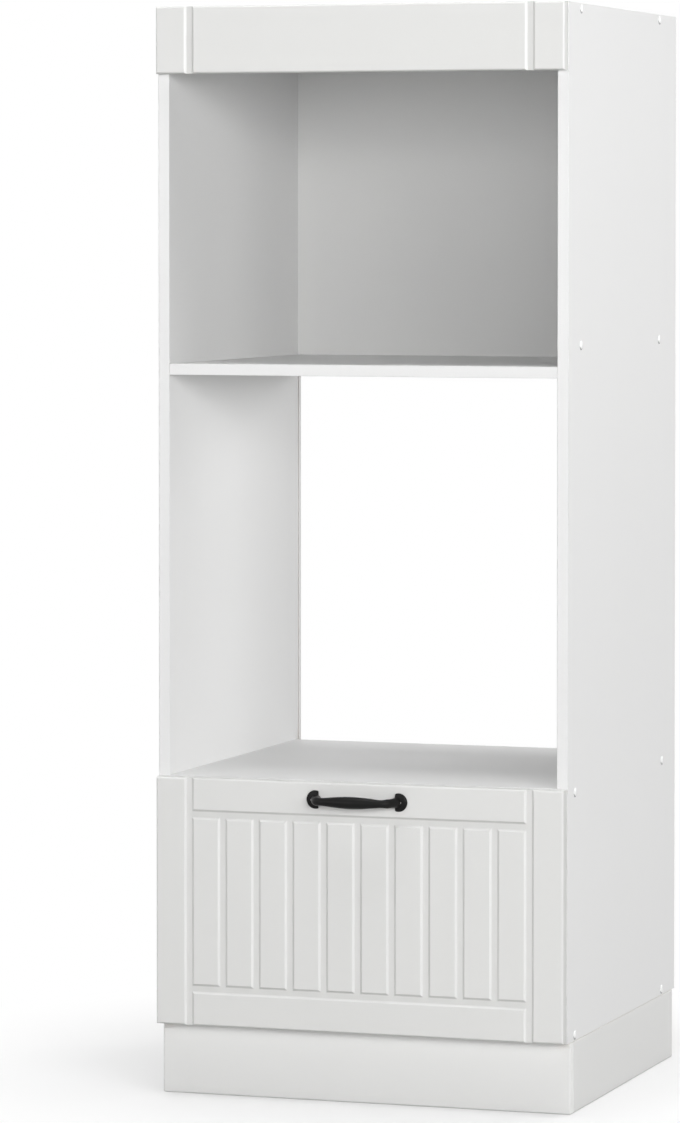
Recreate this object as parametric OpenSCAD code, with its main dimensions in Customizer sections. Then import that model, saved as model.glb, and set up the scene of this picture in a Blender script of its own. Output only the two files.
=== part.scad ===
// Tall kitchen unit for a built-in oven and a microwave, standing on a boxed plinth.
// From the floor up: plinth, one wide drawer, open oven niche, microwave niche with a back, fascia.
// All sizes are in millimetres. X runs to the right, Y runs to the back and Z runs up.
// The origin lies on the floor, midway across the width and midway through the overall depth.

/* [Carcass] */
// Outside width over the two side panels
carcass_w = 600; // [500:10:900]
// Depth of the side panels with their edge bands
carcass_d = 560; // [540:5:620]
// Height of the side panels
side_h = 1432; // [1300:8:1600]
// Thickness of every carcass, shelf and drawer box board
board_t = 16; // [15:1:19]
// Thickness of the band glued to each front edge
band_t = 1; // [0.4:0.1:2]

/* [Compartments] */
// Clear height behind the drawer front
drawer_bay_h = 320; // [300:5:360]
// Clear height of the oven niche
oven_niche_h = 564; // [540:4:600]
// Space between the oven shelf and the back panels, where warm air rises
oven_shelf_gap = 12; // [8:1:30]

/* [Back panels] */
// Thickness of the thin back panels
back_t = 3; // [2.5:0.5:4]
// Distance from the back panels to the rear edges of the sides
back_inset = 10; // [6:1:16]
// Depth of the grooves in the sides that hold the back panels
back_groove = 8; // [5:1:10]
// How far the back panels pass the undersides of the shelves
back_lap = 10; // [8:1:12]

/* [Plinth] */
// Height of the plinth
plinth_h = 100; // [80:5:150]
// Thickness of the plinth boards
plinth_t = 16; // [15:1:19]
// Setback of the plinth front from the edges of the sides
plinth_setback = 15; // [10:1:50]
// Setback of the plinth end from the rear edges of the sides
plinth_rear_setback = 10; // [4:1:20]
// Width of the square corner blocks
block_w = 30; // [28:1:40]
// Height of the corner blocks
block_h = 74; // [60:1:78]

/* [Fronts] */
// Thickness of the drawer front and of the fascia
front_t = 16; // [16:1:20]
// Gap from a front to the outside of the carcass on each side
front_reveal = 1.5; // [1:0.5:3]
// Height of the fascia
fascia_h = 94; // [80:2:110]
// Distance from the oven shelf top down to the top of the drawer front
drawer_front_drop = 1; // [0.5:0.5:3]
// Distance from the bottom of the sides up to the drawer front
drawer_front_lift = 2; // [1:0.5:4]
// Radius of the rounded edges of the fronts
front_edge_r = 3; // [1:0.5:4]
// Width of a routed groove at the face
groove_w = 14; // [10:1:16]
// Width of the flat bottom of a routed groove
groove_flat = 7; // [4:1:8]
// Depth of a routed groove
groove_depth = 2.5; // [1.5:0.5:3]
// Distance from the end of a front to its upright outer groove
stile_w = 49.5; // [40:0.5:60]
// Distance from the top or bottom of the drawer front to its level groove
rail_w = 51.5; // [46:0.5:60]
// Number of slats between the two outer grooves
slats = 10; // [6:1:12]
// Diameter of the soft stops behind the drawer front
bumper_d = 8; // [6:1:10]
// Distance from the top and bottom of the drawer front to the soft stops
bumper_inset = 12; // [8:1:20]
// Thickness of the soft stops
bumper_t = 0.9; // [0.8:0.1:2]
// Space left between a soft stop and the carcass
bumper_gap = 0.1; // [0.1:0.1:0.5]

/* [Drawer box] */
// Space between the drawer box and the back panel
drawer_rear_space = 48; // [30:1:60]
// Height of the drawer walls
drawer_h = 220; // [150:10:250]
// Space under the drawer walls
drawer_floor_gap = 18; // [12:1:25]
// Thickness of the drawer bottom
drawer_bottom_t = 6; // [3:1:8]
// Height of the drawer bottom above the lower edges of the walls
drawer_bottom_rise = 12; // [12:1:16]
// Depth of the grooves that hold the drawer bottom
drawer_groove = 6; // [4:1:8]
// Distance from the upper and lower edges to the screws of the box corners
box_screw_inset = 30; // [25:1:50]
// Distance from the drawer walls to the screws of the drawer front
front_screw_inset = 60; // [30:5:100]
// Distance from the drawer walls to the outer screws of the drawer bottom
bottom_screw_inset = 77; // [50:1:120]

/* [Runners] */
// Space for a runner between the drawer and the side of the carcass
runner_space = 12.5; // [12.5:0.1:14]
// Thickness of the runner steel
runner_s = 1.2; // [1:0.1:1.5]
// How far the drawer pulls out
travel = 380; // [300:10:400]
// Radius of the rollers
roller_r = 10; // [9:0.5:11]
// Width of the rollers
roller_w = 6; // [5:0.5:6.5]
// Radius of the roller pins
roller_pin_r = 2.5; // [2:0.1:3]
// Distance from the end of a runner to its roller
roller_inset = 14; // [13:1:20]
// Thickness of the rim and of the hub of a roller
roller_rim = 1.8; // [1.2:0.1:2.5]
// Depth of the recess on each face of a roller
roller_recess = 1.5; // [1:0.1:2]
// Distance from the end of a runner to its first screw
runner_screw_inset = 50; // [40:5:80]
// Height of the tab that stops the drawer
stop_tab_h = 4; // [3:0.5:6]
// Distance from the front of the carcass to the front of a runner
runner_setback = 2; // [1:0.5:6]
// Width of the runner lip that lies under a drawer wall
runner_lip_w = 14; // [12:0.5:15]

/* [Handle] */
// Distance between the two handle screws
handle_spacing = 128; // [96:32:192]
// Distance from the top of the drawer front down to the handle
handle_drop = 24; // [20:1:40]
// Radius of the handle feet
foot_r = 13; // [10:0.2:14]
// Distance from a handle screw inwards to the centre of the round side of its foot
foot_shift = 3.2; // [0:0.1:4]
// Distance from a handle screw to the flat inner side of its foot
foot_flat = 7.7; // [4:0.1:8]
// Thickness of the handle feet
foot_t = 3.5; // [3:0.5:5]
// Distance from the drawer front to the middle of the grip
grip_reach = 27.5; // [18:0.5:32]
// Radius of the grip at its middle
grip_r = 8.5; // [6:0.5:9]
// Radius of the bow where grip and neck meet
neck_r = 5.5; // [4:0.1:5.5]
// Radius of the neck at the foot
neck_root_r = 6.5; // [5:0.1:6.5]
// Distance along the handle from the root of a neck to the bend
neck_run = 15; // [10:0.5:18]
// Width of the bevel round the face of a foot
foot_bevel = 2; // [1:0.5:3]
// Length of thread in a handle foot
handle_thread = 6; // [5:0.5:6.5]

/* [Screws and fittings] */
// Length of the carcass screws
carcass_screw_l = 50; // [40:5:60]
// Radius of the carcass screws
carcass_screw_r = 3.2; // [2.5:0.1:3.5]
// Distance from the front edge to the first screw of the top panel
top_screw_front = 61; // [40:1:90]
// Distance from the rear edge to the last screw of the top panel
top_screw_rear = 92; // [60:1:120]
// Distance from the front edge to the first screw of the oven shelf and of the bottom panel
low_screw_front = 35; // [25:1:38]
// Distance from the rear edge to the last screw of the oven shelf and of the bottom panel
low_screw_rear = 72; // [60:1:90]
// Height of the spare screw row above the middle of the microwave shelf
spare_row_rise = 36; // [28:1:64]
// Radius of the screw caps
cap_r = 6.5; // [5.5:0.5:8]
// Height of the screw caps
cap_h = 1.5; // [1:0.1:2.5]
// Height of the upright rim of the screw caps
cap_rim_h = 0.6; // [0.3:0.1:0.8]
// Width of the slope from the rim to the flat top of the screw caps
cap_slope = 2; // [1:0.1:3]
// Distance from the ends of the microwave shelf to the cam housings
cam_inset = 34; // [24:1:40]
// Distance from the edges of the microwave shelf to the cam bolts
cam_edge = 80; // [50:5:120]
// Distance from a cam bolt to the dowel beside it
dowel_spacing = 32; // [24:1:64]
// Radius of the wooden dowels
dowel_r = 4; // [3:0.5:5]
// Length of the wooden dowels
dowel_l = 30; // [25:5:40]
// Number of nails in each row of the back panels
nails = 5; // [3:1:8]
// Height of the fascia brackets
bracket_h = 40; // [30:2:60]
// Length of the legs of the fascia brackets
bracket_leg = 20; // [18:1:25]
// Distance from the edges of a fascia bracket to its screws
bracket_screw_inset = 8; // [6:0.5:9]

/* [Hidden] */
$fn = 48;
// Play around a screw, pin or dowel in its hole
fit = 0.05;
// Play of a panel in its groove, on each side
slip = 0.1;
// Gap between a roller and the steel that it rolls on
roll_gap = 0.2;
// Overlength of a cutting shape
over = 1;
// Step between the radii of round shapes that run into each other
blend_step = 0.05;

// Small screws that hold brackets, runners and blocks
small_r = 1.75;
small_head_r = 3.5;
small_head_h = 1.2;
small_l = 13;
lip_screw_l = 12;
front_screw_bite = 9;
bottom_screw_bite = 14;
front_screw_l = board_t + front_screw_bite;
bottom_screw_l = drawer_bottom_t + bottom_screw_bite;

// Lines of the carcass, from the front plane of the sides and from the floor
half_w = carcass_w / 2;
inner_x = half_w - board_t;
top_z = plinth_h + side_h;
bottom_z = plinth_h;
oven_shelf_z = bottom_z + board_t + drawer_bay_h;
microwave_shelf_z = oven_shelf_z + board_t + oven_niche_h;
top_panel_z = top_z - board_t;
back_y = carcass_d - back_inset - back_t;
oven_shelf_d = back_y - oven_shelf_gap;

// Drawer front and fascia
front_w = carcass_w - 2 * front_reveal;
stop_gap = bumper_t + bumper_gap;
front_z = bottom_z + drawer_front_lift;
front_top = oven_shelf_z + board_t - drawer_front_drop;
front_h = front_top - front_z;
fascia_z = top_z - fascia_h;
groove_x = front_w / 2 - stile_w;
slat_w = 2 * groove_x / slats;

// Drawer box
wall_x = inner_x - runner_space;
wall_inner_x = wall_x - board_t;
box_z = bottom_z + board_t + drawer_floor_gap;
box_y = -stop_gap;
box_back_y = back_y - drawer_rear_space;
drawer_l = box_back_y - box_y;
box_bottom_z = box_z + drawer_bottom_rise;
box_bottom_top = box_bottom_z + drawer_bottom_t;
box_screw_zs = [box_bottom_top + box_screw_inset, box_z + drawer_h - box_screw_inset];
front_screw_drop = 10;
front_screw_zs = [box_screw_zs[0], box_screw_zs[1] - front_screw_drop];

// Runner section, from the track on which the rear roller runs
track_lift = 2;
track_gap = 0.8;
channel_headroom = 1;
channel_side_gap = 0.8;
rail_side_gap = 3.5;
track_z = box_z + track_lift;
front_axle_z = track_z + roller_r + track_gap;
rear_axle_z = track_z + roller_r + roll_gap;
rail_z = front_axle_z + roller_r + roll_gap;
channel_top_z = rail_z + runner_s + channel_headroom;
channel_w = runner_space - runner_s - channel_side_gap;
rail_reach = runner_space - rail_side_gap;
roller_play = 0.2;
axle_gap = 1;
rivet_head_h = 1.1;
rivet_rim = 1.5;
rivet_head_r = roller_pin_r + rivet_rim;
front_axle_y = runner_setback + roller_inset;
rear_axle_y = box_back_y - roller_inset;
stop_reach = sqrt(2 * roller_r * stop_tab_h - stop_tab_h * stop_tab_h);
stop_play = 0.3;
stop_y = rear_axle_y - travel - stop_reach - stop_play;
runner_l = drawer_l;
runner_screws = 3;
runner_screw_pitch = (runner_l - 2 * runner_screw_inset) / (runner_screws - 1);
runner_screw_z = (track_z + channel_top_z) / 2;

// Handle
handle_x = handle_spacing / 2;
handle_z = front_top - handle_drop;
grip_end_x = handle_x - foot_shift - neck_run;
grip_sag = grip_r - neck_r;
grip_arc_r = (grip_end_x * grip_end_x + grip_sag * grip_sag) / (2 * grip_sag);
ball_r = neck_r + 3 * blend_step;
root_d = neck_root_r + 2 * blend_step;
handle_screw_r = 2;
handle_head_r = 4;
handle_head_h = 2;
handle_screw_l = front_t + handle_thread;

// The overall depth, from the front of the grip to the rear edges, places the front plane
overall_d = carcass_d + stop_gap + front_t + grip_reach + grip_r;
carcass_front_y = overall_d / 2 - carcass_d;

// Carcass screws
screw_head_r = 5;
screw_head_h = 3;
socket_r = 2;
socket_h = 3;
low_rear_y = carcass_d - low_screw_rear;
top_rear_y = carcass_d - top_screw_rear;
spare_z = microwave_shelf_z + board_t / 2 + spare_row_rise;
screw_rows = [
    [top_screw_front, top_panel_z + board_t / 2],
    [top_rear_y, top_panel_z + board_t / 2],
    [low_screw_front, oven_shelf_z + board_t / 2],
    [low_rear_y, oven_shelf_z + board_t / 2],
    [low_screw_front, bottom_z + board_t / 2],
    [low_rear_y, bottom_z + board_t / 2]
];
spare_rows = [[top_screw_front, spare_z], [top_rear_y, spare_z]];

// Cam fittings and dowels of the microwave shelf
shelf_mid_z = microwave_shelf_z + board_t / 2;
cam_r = 7.5;
cam_h = 12.5;
cam_bolt_r = 3;
cam_bolt_bite = 11;
cam_bolt_play = 1;
cam_bolt_end_gap = 2;
cam_slot_l = 9;
cam_slot_w = 1.4;
cam_slot_h = 2;
cam_ys = [cam_edge, back_y - cam_edge];
dowel_ys = [cam_edge + dowel_spacing, back_y - cam_edge - dowel_spacing];
dowel_bite = 10;

// Back panels and their nails
nail_r = 0.7;
nail_l = 22;
nail_head_r = 1.6;
nail_head_h = 0.6;
nail_margin = 60;
nail_pitch = (carcass_w - 2 * nail_margin) / (nails - 1);
nail_zs = [top_panel_z + board_t / 2, shelf_mid_z, bottom_z + board_t / 2];
back_end_gap = 4;
upper_back_z = microwave_shelf_z - back_lap;
upper_back_top = top_z - back_end_gap;
lower_back_z = bottom_z + back_end_gap;
lower_back_top = oven_shelf_z + back_lap;
back_half_w = inner_x + back_groove - slip;

// Fascia brackets
bracket_t = 2;
bracket_z = fascia_z + (top_panel_z - fascia_z) / 2 - bracket_h / 2;
bracket_screw_zs = [bracket_z + bracket_screw_inset, bracket_z + bracket_h - bracket_screw_inset];
bracket_screw_in = bracket_leg - bracket_screw_inset;

// Plinth
plinth_side_y = plinth_setback + plinth_t;
plinth_end_y = carcass_d - plinth_rear_setback;
plinth_back_y = plinth_end_y - plinth_t;
plinth_inner_x = half_w - plinth_t;
block_z = plinth_h - block_h;
block_mid = block_w / 2;
block_screw_edge = 5.5;
block_screw_bite = 10;
block_screw_head_h = 2;
block_screw_side = block_w - block_screw_edge;
block_screw_l = block_w + block_screw_bite;
block_screw_low = 16;
block_screw_high = 32;
block_fixing_depth = 25;
block_fixing_bite = 12;
block_fixing_z = plinth_h - block_fixing_depth;
block_fixing_l = block_fixing_depth + block_fixing_bite;
block_fixing_r = 2;
block_fixing_head_h = 2.4;
block_bore_r = 4.5;

// ---------- Shared shapes ----------

// Carries a piece from the front plane of the carcass to its place in the part's own frame
module in_place() {
    translate([0, carcass_front_y, 0]) children();
}

// The same piece at the left and mirrored at the right
module both_sides() {
    children();
    mirror([1, 0, 0]) children();
}

// A board between two opposite corners
module board(low, high) {
    translate(low) cube(high - low);
}

// Turns a piece that points up so that it points along X, Y or Z, towards the sign of way
module point_x(place, way) {
    translate(place) rotate([0, way * 90, 0]) children();
}

module point_y(place, way) {
    translate(place) rotate([-way * 90, 0, 0]) children();
}

module point_z(place, way) {
    translate(place) rotate([way > 0 ? 0 : 180, 0, 0]) children();
}

// A screw that points up, with its head sunk level with the start, and the hole for it
module sunk_screw(length, shank_r, head_r, head_h) {
    cylinder(h = length, r = shank_r);
    cylinder(h = head_h, r = head_r);
}

module sunk_hole(length, shank_r, head_r, head_h) {
    translate([0, 0, -over]) cylinder(h = length + over + fit, r = shank_r + fit);
    translate([0, 0, -over]) cylinder(h = head_h + over, r = head_r + fit);
}

// A small screw with a raised head: the head lies behind the start, and only the shank enters
module raised_screw(length) {
    cylinder(h = length, r = small_r);
    translate([0, 0, -small_head_h]) cylinder(h = small_head_h, r = small_head_r);
}

module small_hole(length) {
    translate([0, 0, -over]) cylinder(h = length + over + fit, r = small_r + fit);
}

// The long screw of the carcass and the drawer box, with a socket in its head, and its hole
module board_screw() {
    difference() {
        sunk_screw(carcass_screw_l, carcass_screw_r, screw_head_r, screw_head_h);
        socket();
    }
}

module board_screw_hole() {
    sunk_hole(carcass_screw_l, carcass_screw_r, screw_head_r, screw_head_h);
}

// The round socket of a screw, and the spare hole that takes the same cap
module socket() {
    translate([0, 0, -over]) cylinder(h = socket_h + 2 * over, r = socket_r + fit);
}

// Every carcass screw of one side, pointing in from the outer face
module at_carcass_screws() {
    for (row = screw_rows) point_x([-half_w, row[0], row[1]], 1) children();
}

// ---------- Carcass ----------

module left_side_panel() {
    color("#ececea") in_place() difference() {
        board([-half_w, band_t, bottom_z], [-inner_x, carcass_d, top_z]);
        board(
            [-inner_x - back_groove, back_y - slip, bottom_z - over],
            [-inner_x + over, back_y + back_t + slip, top_z + over]
        );
        at_carcass_screws() board_screw_hole();
        for (row = spare_rows) point_x([-half_w, row[0], row[1]], 1) socket();
        for (y = cam_ys) {
            point_x([-inner_x + over, y, shelf_mid_z], -1)
                cylinder(h = cam_bolt_bite + over + fit, r = cam_bolt_r + fit);
        }
        for (y = dowel_ys) {
            point_x([-inner_x + over, y, shelf_mid_z], -1)
                cylinder(h = dowel_bite + over + fit, r = dowel_r + fit);
        }
        for (z = bracket_screw_zs) {
            point_x([-inner_x + bracket_t, bracket_screw_in, z], -1) small_hole(small_l);
        }
        at_cabinet_runner_screws() small_hole(small_l);
    }
}

module right_side_panel() {
    mirror([1, 0, 0]) left_side_panel();
}

// A level board between the sides, with the holes for the carcass screws of its own row
module level_board(z, depth) {
    difference() {
        board([-inner_x, band_t, z], [inner_x, depth, z + board_t]);
        both_sides() at_carcass_screws() board_screw_hole();
        children();
    }
}

// Nail holes along the rear edge of a level board, or through a back panel
module at_nails(z) {
    for (i = [0 : nails - 1]) {
        point_y([nail_margin - half_w + i * nail_pitch, back_y + back_t, z], -1) children();
    }
}

module nail_hole() {
    translate([0, 0, -over]) cylinder(h = nail_l + over + fit, r = nail_r + fit);
}

module top_panel() {
    color("#ececea") in_place() level_board(top_panel_z, back_y) {
        at_nails(nail_zs[0]) nail_hole();
    }
}

module microwave_shelf() {
    color("#efefed") in_place() level_board(microwave_shelf_z, back_y) {
        at_nails(nail_zs[1]) nail_hole();
        both_sides() {
            for (y = cam_ys) {
                translate([-inner_x + cam_inset, y, microwave_shelf_z - over])
                    cylinder(h = cam_h + over + fit, r = cam_r + fit);
                point_x([-inner_x - over, y, shelf_mid_z], 1)
                    cylinder(h = cam_inset, r = cam_bolt_r + cam_bolt_play);
            }
            for (y = dowel_ys) {
                point_x([-inner_x - over, y, shelf_mid_z], 1)
                    cylinder(h = dowel_l - dowel_bite + over + fit, r = dowel_r + fit);
            }
        }
    }
}

module oven_shelf() {
    color("#efefed") in_place() level_board(oven_shelf_z, oven_shelf_d);
}

module bottom_panel() {
    color("#ececea") in_place() level_board(bottom_z, back_y) {
        at_nails(nail_zs[2]) nail_hole();
        at_blocks() point_z([block_mid, block_mid, block_fixing_z], 1)
            cylinder(h = block_fixing_l + fit, r = block_fixing_r + fit);
    }
}

module upper_back_panel() {
    color("#dfe0df") in_place() difference() {
        board(
            [-back_half_w, back_y, upper_back_z],
            [back_half_w, back_y + back_t, upper_back_top]
        );
        at_nails(nail_zs[0]) nail_hole();
        at_nails(nail_zs[1]) nail_hole();
    }
}

module lower_back_panel() {
    color("#dfe0df") in_place() difference() {
        board(
            [-back_half_w, back_y, lower_back_z],
            [back_half_w, back_y + back_t, lower_back_top]
        );
        at_nails(nail_zs[2]) nail_hole();
    }
}

module side_edge_bands() {
    color("#f4f4f2") in_place() both_sides()
        board([-half_w, 0, bottom_z], [-inner_x, band_t, top_z]);
}

module shelf_edge_bands() {
    color("#f4f4f2") in_place() {
        for (z = [bottom_z, oven_shelf_z, microwave_shelf_z, top_panel_z]) {
            board([-inner_x, 0, z], [inner_x, band_t, z + board_t]);
        }
    }
}

module carcass_screws() {
    color("#b9bcbf") in_place() both_sides() at_carcass_screws() board_screw();
}

// Low cap with a sloping edge and a stem that plugs into the screw below it or into a spare hole
module screw_cap() {
    translate([0, 0, -cap_rim_h]) cylinder(h = cap_rim_h, r = cap_r);
    translate([0, 0, -cap_h]) cylinder(h = cap_h - cap_rim_h, r1 = cap_r - cap_slope, r2 = cap_r);
    cylinder(h = socket_h, r = socket_r);
}

module side_screw_caps() {
    color("#f6f6f4") in_place() both_sides() {
        at_carcass_screws() screw_cap();
        for (row = spare_rows) point_x([-half_w, row[0], row[1]], 1) screw_cap();
    }
}

module back_panel_nails() {
    color("#b9bcbf") in_place() {
        for (z = nail_zs) {
            at_nails(z) {
                cylinder(h = nail_l, r = nail_r);
                translate([0, 0, -nail_head_h]) cylinder(h = nail_head_h, r = nail_head_r);
            }
        }
    }
}

// ---------- Fittings of the microwave shelf ----------

module cam_bolts() {
    color("#b9bcbf") in_place() both_sides() {
        for (y = cam_ys) {
            point_x([-inner_x - cam_bolt_bite, y, shelf_mid_z], 1)
                cylinder(h = cam_bolt_bite + cam_inset, r = cam_bolt_r);
        }
    }
}

module cam_housings() {
    color("#c9cbcd") in_place() both_sides() {
        for (y = cam_ys) {
            difference() {
                translate([-inner_x + cam_inset, y, microwave_shelf_z]) cylinder(h = cam_h, r = cam_r);
                point_x([-inner_x, y, shelf_mid_z], 1)
                    cylinder(h = cam_inset + cam_bolt_end_gap, r = cam_bolt_r + fit);
                translate([-inner_x + cam_inset, y, microwave_shelf_z]) {
                    cube([cam_slot_l, cam_slot_w, 2 * cam_slot_h], center = true);
                    cube([cam_slot_w, cam_slot_l, 2 * cam_slot_h], center = true);
                }
            }
        }
    }
}

module shelf_dowels() {
    color("#cfae7c") in_place() both_sides() {
        for (y = dowel_ys) {
            point_x([-inner_x - dowel_bite, y, shelf_mid_z], 1) cylinder(h = dowel_l, r = dowel_r);
        }
    }
}

// ---------- Plinth ----------

// Each inner corner of the plinth: local X and Y run from the corner into the plinth
module at_blocks() {
    for (way = [-1, 1]) {
        translate([way * plinth_inner_x, plinth_side_y, 0])
            mirror([way > 0 ? 1 : 0, 0, 0]) children();
        translate([way * plinth_inner_x, plinth_back_y, 0])
            mirror([way > 0 ? 1 : 0, 0, 0]) mirror([0, 1, 0]) children();
    }
}

// The screw along Y and the screw along X of one corner block
module at_block_screws() {
    point_y([block_screw_side, block_w, block_z + block_screw_low], -1) children();
    point_x([block_w, block_screw_side, block_z + block_screw_high], -1) children();
}

module block_hole() {
    sunk_hole(block_screw_l, small_r, small_head_r, block_screw_head_h);
}

module plinth_front_board() {
    color("#ebebe8") in_place() difference() {
        board([-half_w, plinth_setback, 0], [half_w, plinth_side_y, plinth_h]);
        at_blocks() at_block_screws() block_hole();
    }
}

module plinth_back_board() {
    color("#e6e6e4") in_place() difference() {
        board([-plinth_inner_x, plinth_back_y, 0], [plinth_inner_x, plinth_end_y, plinth_h]);
        at_blocks() at_block_screws() block_hole();
    }
}

module plinth_left_board() {
    color("#e6e6e4") in_place() difference() {
        board([-half_w, plinth_side_y, 0], [-plinth_inner_x, plinth_end_y, plinth_h]);
        at_blocks() at_block_screws() block_hole();
    }
}

module plinth_right_board() {
    mirror([1, 0, 0]) plinth_left_board();
}

module plinth_corner_blocks() {
    color("#d9b98a") in_place() at_blocks() difference() {
        translate([0, 0, block_z]) cube([block_w, block_w, block_h]);
        at_block_screws() block_hole();
        translate([block_mid, block_mid, block_z - over])
            cylinder(h = block_fixing_z - block_z + over, r = block_bore_r);
        translate([block_mid, block_mid, block_z])
            cylinder(h = block_h + over, r = block_fixing_r + fit);
    }
}

module plinth_block_screws() {
    color("#b9bcbf") in_place() at_blocks() at_block_screws()
        sunk_screw(block_screw_l, small_r, small_head_r, block_screw_head_h);
}

module plinth_fixing_screws() {
    color("#b9bcbf") in_place() at_blocks() point_z([block_mid, block_mid, block_fixing_z], 1) {
        cylinder(h = block_fixing_l, r = block_fixing_r);
        translate([0, 0, -block_fixing_head_h]) cylinder(h = block_fixing_head_h, r = small_head_r);
    }
}

// ---------- Fronts ----------

// Outline of a front seen end on: two square corners behind, two round corners in front
module front_outline(length) {
    translate([0, front_edge_r]) square([length, front_t - front_edge_r]);
    translate([front_edge_r, 0]) square([length - 2 * front_edge_r, front_t]);
    translate([front_edge_r, front_edge_r]) circle(r = front_edge_r);
    translate([length - front_edge_r, front_edge_r]) circle(r = front_edge_r);
}

// Board with all four front edges rounded, its front face on y = 0 and its lower left corner at 0
module front_blank(width, height) {
    intersection() {
        linear_extrude(height = height) front_outline(width);
        translate([width, 0, 0]) rotate([0, -90, 0]) linear_extrude(height = width)
            front_outline(height);
    }
}

// Section of a routed groove, cut into a face on y = 0
module groove_section() {
    polygon([
        [-groove_w / 2, -over],
        [groove_w / 2, -over],
        [groove_w / 2, 0],
        [groove_flat / 2, groove_depth],
        [-groove_flat / 2, groove_depth],
        [-groove_w / 2, 0]
    ]);
}

module upright_groove(x, low, high) {
    translate([x, 0, low]) linear_extrude(height = high - low) groove_section();
}

module level_groove(z) {
    translate([groove_x, 0, z]) rotate([0, -90, 0]) linear_extrude(height = 2 * groove_x)
        groove_section();
}

module fascia_front() {
    color("#f1f1ef") in_place() difference() {
        translate([-front_w / 2, -front_t, fascia_z]) front_blank(front_w, fascia_h);
        translate([0, -front_t, 0]) {
            for (way = [-1, 1]) upright_groove(way * groove_x, fascia_z - over, top_z + over);
        }
        both_sides() {
            for (z = bracket_screw_zs) {
                point_y([-inner_x + bracket_screw_in, bracket_t, z], -1) small_hole(small_l);
            }
        }
    }
}

// Steel angle that ties the fascia to the side panel, out of sight above its lower edge
module fascia_brackets() {
    color("#c4c7ca") in_place() both_sides() difference() {
        union() {
            board([-inner_x, 0, bracket_z], [-inner_x + bracket_t, bracket_leg, bracket_z + bracket_h]);
            board([-inner_x, 0, bracket_z], [-inner_x + bracket_leg, bracket_t, bracket_z + bracket_h]);
        }
        for (z = bracket_screw_zs) {
            point_x([-inner_x + bracket_t, bracket_screw_in, z], -1) small_hole(small_l);
            point_y([-inner_x + bracket_screw_in, bracket_t, z], -1) small_hole(small_l);
        }
    }
}

module fascia_bracket_screws() {
    color("#b9bcbf") in_place() both_sides() {
        for (z = bracket_screw_zs) {
            point_x([-inner_x + bracket_t, bracket_screw_in, z], -1) raised_screw(small_l);
            point_y([-inner_x + bracket_screw_in, bracket_t, z], -1) raised_screw(small_l);
        }
    }
}

module drawer_front() {
    color("#e9e9e6") in_place() difference() {
        translate([-front_w / 2, -front_t - stop_gap, front_z]) front_blank(front_w, front_h);
        translate([0, -front_t - stop_gap, 0]) {
            for (way = [-1, 1]) upright_groove(way * groove_x, front_z - over, front_top + over);
            for (z = [front_z + rail_w, front_top - rail_w]) level_groove(z);
            for (i = [1 : slats - 1]) {
                upright_groove(i * slat_w - groove_x, front_z + rail_w, front_top - rail_w);
            }
        }
        at_drawer_front_screws() small_hole(front_screw_l);
        at_handle_screws() translate([0, 0, -over])
            cylinder(h = handle_screw_l + over, r = handle_screw_r + fit);
    }
}

module drawer_bumpers() {
    color("#d5dadd") in_place() both_sides() {
        for (z = [front_z + bumper_inset, front_top - bumper_inset]) {
            point_y([-(half_w + inner_x) / 2, -stop_gap, z], 1)
                cylinder(h = bumper_t, r = bumper_d / 2);
        }
    }
}

// ---------- Drawer box ----------

// Where the screws from the inside of the box hold the drawer front
module at_drawer_front_screws() {
    both_sides() {
        for (z = front_screw_zs) {
            point_y([-wall_inner_x + front_screw_inset, box_y + board_t, z], -1) children();
        }
    }
}

// The screws that join the walls to the boards between them
module at_box_screws() {
    both_sides() {
        for (z = box_screw_zs) {
            for (y = [box_y + board_t / 2, box_back_y - board_t / 2]) {
                point_x([-wall_x, y, z], 1) children();
            }
        }
    }
}

module drawer_bottom_slot() {
    board(
        [-wall_inner_x - drawer_groove, box_y + board_t - drawer_groove, box_bottom_z - slip],
        [wall_inner_x + drawer_groove, box_back_y + over, box_bottom_top + slip]
    );
}

module drawer_left_wall() {
    color("#eeeeec") in_place() difference() {
        board([-wall_x, box_y, box_z], [-wall_inner_x, box_back_y, box_z + drawer_h]);
        drawer_bottom_slot();
        at_box_screws() board_screw_hole();
        at_drawer_runner_screws() small_hole(lip_screw_l);
    }
}

module drawer_right_wall() {
    mirror([1, 0, 0]) drawer_left_wall();
}

module drawer_box_front() {
    color("#eeeeec") in_place() difference() {
        board(
            [-wall_inner_x, box_y, box_z],
            [wall_inner_x, box_y + board_t, box_z + drawer_h]
        );
        drawer_bottom_slot();
        at_box_screws() board_screw_hole();
        at_drawer_front_screws() small_hole(front_screw_l);
    }
}

module drawer_back_wall() {
    color("#eeeeec") in_place() difference() {
        board(
            [-wall_inner_x, box_back_y - board_t, box_bottom_top + slip],
            [wall_inner_x, box_back_y, box_z + drawer_h]
        );
        at_box_screws() board_screw_hole();
        at_bottom_screws() small_hole(bottom_screw_l);
    }
}

// The screws that hold the drawer bottom up against the back wall
module at_bottom_screws() {
    for (i = [-1 : 1]) {
        point_z(
            [
                i * (wall_inner_x - bottom_screw_inset),
                box_back_y - board_t / 2,
                box_bottom_z
            ], 1
        ) children();
    }
}

module drawer_bottom() {
    color("#f3f3f1") in_place() difference() {
        board(
            [
                -wall_inner_x - drawer_groove + slip,
                box_y + board_t - drawer_groove + slip,
                box_bottom_z
            ],
            [wall_inner_x + drawer_groove - slip, box_back_y, box_bottom_top]
        );
        at_bottom_screws() small_hole(bottom_screw_l);
    }
}

module drawer_box_screws() {
    color("#b9bcbf") in_place() at_box_screws() board_screw();
}

module drawer_front_screws() {
    color("#b9bcbf") in_place() at_drawer_front_screws() raised_screw(front_screw_l);
}

module drawer_bottom_screws() {
    color("#b9bcbf") in_place() at_bottom_screws() raised_screw(bottom_screw_l);
}

// ---------- Runners ----------

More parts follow.
